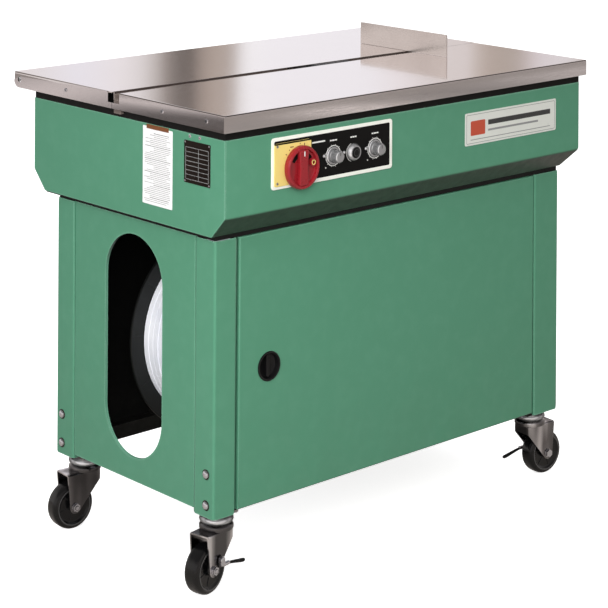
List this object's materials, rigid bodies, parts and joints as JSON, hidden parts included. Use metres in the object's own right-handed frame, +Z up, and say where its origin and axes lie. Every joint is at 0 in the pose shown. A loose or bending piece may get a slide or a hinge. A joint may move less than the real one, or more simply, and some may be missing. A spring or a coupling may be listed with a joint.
{
  "type": "semi automatic strapping machine",
  "caption": "Table-height strapping machine: stainless table with strap slot and package stop, control panel, cabinet with door and strap reel, on swivel casters.",
  "frame": {"origin": "on the floor at the centre of the bounding box", "axes": "+Z up, +X along the table to the operator's right, -Y towards the operator, who faces the control panel and door"},
  "size_m": [0.9178, 0.604, 0.83],
  "materials": {
    "stainless": "brushed",
    "green_paint": "semi gloss",
    "black_frame": "matt black",
    "zinc": "zinc plated",
    "chrome_trim": "polished",
    "steel": "machined",
    "cast_grey": "painted",
    "black_plastic": "moulded",
    "white_plastic": "printed",
    "yellow_plate": "printed",
    "red_plastic": "moulded",
    "label_white": "satin film",
    "label_dark": "etched",
    "strap": "embossed",
    "rubber_black": "matt",
    "wheel_black": "hard rubber",
    "belt": "matt"
  },
  "bodies": {
    "root": {"front_table_plate": "stainless", "slot_track": "black_plastic", "table_frame": "black_frame", "housing_shell": "green_paint", "housing_left_end": "green_paint", "front_left_post": "green_paint", "front_right_post": "green_paint", "rear_posts": "green_paint", "left_end_panel": "green_paint", "right_end_panel": "green_paint", "rear_panel": "green_paint", "bottom_rails": "black_frame", "machine_bed": "black_frame", "panel_screws": "chrome_trim", "control_bezel": "white_plastic", "control_face": "black_plastic", "switch_plate": "yellow_plate", "instruction_label": "label_white", "data_plate": "label_dark", "name_label": "label_white", "head_frame": "cast_grey", "gear_motor": "cast_grey", "pool_box": "zinc", "electrical_box": "zinc", "reel_stand": "black_frame", "reel_axle": "steel", "power_cord": "rubber_black", "caster_mounts": "zinc", "drive_belt": "belt"},
    "lid": {"rear_table_plate": "stainless", "package_stop": "stainless"},
    "door": {"front_door": "green_paint"},
    "lock": {"door_lock": "black_plastic"},
    "main_switch": {"main_switch_knob": "red_plastic"},
    "feed_dial": {"feed_knob": "chrome_trim"},
    "tension_dial": {"tension_knob": "chrome_trim"},
    "reset": {"reset_button": "chrome_trim"},
    "reel": {"reel_spool": "black_plastic", "strap_coil": "strap"},
    "guide": {"guide_roller": "black_plastic"},
    "feed": {"feed_roller": "rubber_black"},
    "pinch": {"pinch_roller": "steel"},
    "cams": {"cam_shaft": "steel"},
    "motor_drive": {"motor_pulley": "steel"},
    "gripper": {"strap_gripper": "steel"},
    "heater": {"heater_arm": "steel"},
    "fork_front_left": {"caster_fork_front_left": "zinc", "caster_axle_front_left": "zinc"},
    "wheel_front_left": {"caster_wheel_front_left": "wheel_black"},
    "brake_front_left": {"caster_brake_front_left": "zinc"},
    "fork_rear_left": {"caster_fork_rear_left": "zinc", "caster_axle_rear_left": "zinc"},
    "wheel_rear_left": {"caster_wheel_rear_left": "wheel_black"},
    "fork_front_right": {"caster_fork_front_right": "zinc", "caster_axle_front_right": "zinc"},
    "wheel_front_right": {"caster_wheel_front_right": "wheel_black"},
    "brake_front_right": {"caster_brake_front_right": "zinc"},
    "fork_rear_right": {"caster_fork_rear_right": "zinc", "caster_axle_rear_right": "zinc"},
    "wheel_rear_right": {"caster_wheel_rear_right": "wheel_black"}
  },
  "joints": [
    {"name": "lid_hinge", "type": "hinge", "parent": "root", "child": "lid", "pos_m": [0, 0.2854, 0.775], "axis": [-1, 0, 0], "range_deg": [0, 85]},
    {"name": "door_hinge", "type": "hinge", "parent": "root", "child": "door", "pos_m": [0.3485, -0.225, 0.35], "axis": [0, 0, 1], "range_deg": [0, 95]},
    {"name": "lock_turn", "type": "hinge", "parent": "door", "child": "lock", "pos_m": [-0.3075, -0.22, 0.354], "axis": [0, 1, 0], "range_deg": [0, 90]},
    {"name": "main_switch_turn", "type": "hinge", "parent": "root", "child": "main_switch", "pos_m": [-0.2775, -0.28, 0.684], "axis": [0, 1, 0], "range_deg": [0, 90]},
    {"name": "feed_dial_turn", "type": "hinge", "parent": "root", "child": "feed_dial", "pos_m": [-0.2, -0.28, 0.692], "axis": [0, 1, 0], "range_deg": [-135, 135]},
    {"name": "tension_dial_turn", "type": "hinge", "parent": "root", "child": "tension_dial", "pos_m": [-0.1025, -0.28, 0.692], "axis": [0, 1, 0], "range_deg": [-135, 135]},
    {"name": "reset_press", "type": "slide", "parent": "root", "child": "reset", "axis": [0, 1, 0], "range_m": [0, 0.003], "stiffness_N_per_m": 300},
    {"name": "reel_spin", "type": "hinge", "parent": "root", "child": "reel", "pos_m": [-0.1695, 0, 0.33], "axis": [0, 1, 0], "continuous": true},
    {"name": "guide_spin", "type": "hinge", "parent": "root", "child": "guide", "pos_m": [-0.13, 0, 0.548], "axis": [0, 1, 0], "continuous": true},
    {"name": "feed_spin", "type": "hinge", "parent": "root", "child": "feed", "pos_m": [0.095, 0, 0.69], "axis": [0, 1, 0], "continuous": true},
    {"name": "pinch_spin", "type": "hinge", "parent": "root", "child": "pinch", "pos_m": [0.095, 0, 0.7266], "axis": [0, 1, 0], "continuous": true},
    {"name": "cam_turn", "type": "hinge", "parent": "root", "child": "cams", "pos_m": [0, 0, 0.64], "axis": [0, 1, 0], "continuous": true},
    {"name": "motor_pulley_turn", "type": "hinge", "parent": "root", "child": "motor_drive", "pos_m": [0.23, 0, 0.655], "axis": [0, 1, 0], "continuous": true},
    {"name": "gripper_lift", "type": "slide", "parent": "root", "child": "gripper", "axis": [0, 0, 1], "range_m": [0, 0.01]},
    {"name": "heater_swing", "type": "hinge", "parent": "root", "child": "heater", "pos_m": [0.07, 0.025, 0.753], "axis": [0, 0, 1], "range_deg": [0, 18]},
    {"name": "swivel_front_left", "type": "hinge", "parent": "root", "child": "fork_front_left", "pos_m": [-0.385, -0.19, 0.1], "axis": [0, 0, 1], "continuous": true},
    {"name": "wheel_spin_front_left", "type": "hinge", "parent": "fork_front_left", "child": "wheel_front_left", "pos_m": [-0.41434, -0.19624, 0.04], "axis": [0.2079, -0.9781, 0], "continuous": true},
    {"name": "brake_front_left", "type": "hinge", "parent": "fork_front_left", "child": "brake_front_left", "pos_m": [-0.40065, -0.19333, 0.054], "axis": [-0.2079, 0.9781, 0], "range_deg": [0, 12]},
    {"name": "swivel_rear_left", "type": "hinge", "parent": "root", "child": "fork_rear_left", "pos_m": [-0.385, 0.168, 0.1], "axis": [0, 0, 1], "continuous": true},
    {"name": "wheel_spin_rear_left", "type": "hinge", "parent": "fork_rear_left", "child": "wheel_rear_left", "pos_m": [-0.41489, 0.17061, 0.04], "axis": [-0.0872, -0.9962, 0], "continuous": true},
    {"name": "swivel_front_right", "type": "hinge", "parent": "root", "child": "fork_front_right", "pos_m": [0.392, -0.19, 0.1], "axis": [0, 0, 1], "continuous": true},
    {"name": "wheel_spin_front_right", "type": "hinge", "parent": "fork_front_right", "child": "wheel_front_right", "pos_m": [0.42189, -0.19262, 0.04], "axis": [0.0872, 0.9962, 0], "continuous": true},
    {"name": "brake_front_right", "type": "hinge", "parent": "fork_front_right", "child": "brake_front_right", "pos_m": [0.40794, -0.19139, 0.054], "axis": [-0.0872, -0.9962, 0], "range_deg": [0, 12]},
    {"name": "swivel_rear_right", "type": "hinge", "parent": "root", "child": "fork_rear_right", "pos_m": [0.392, 0.168, 0.1], "axis": [0, 0, 1], "continuous": true},
    {"name": "wheel_spin_rear_right", "type": "hinge", "parent": "fork_rear_right", "child": "wheel_rear_right", "pos_m": [0.42134, 0.16176, 0.04], "axis": [0.2079, 0.9781, 0], "continuous": true}
  ],
  "couplings": [
    {"joint": "pinch_spin", "follows": "feed_spin", "ratio": -1.5714},
    {"joint": "motor_pulley_turn", "follows": "cam_turn", "ratio": 1.9444}
  ]
}
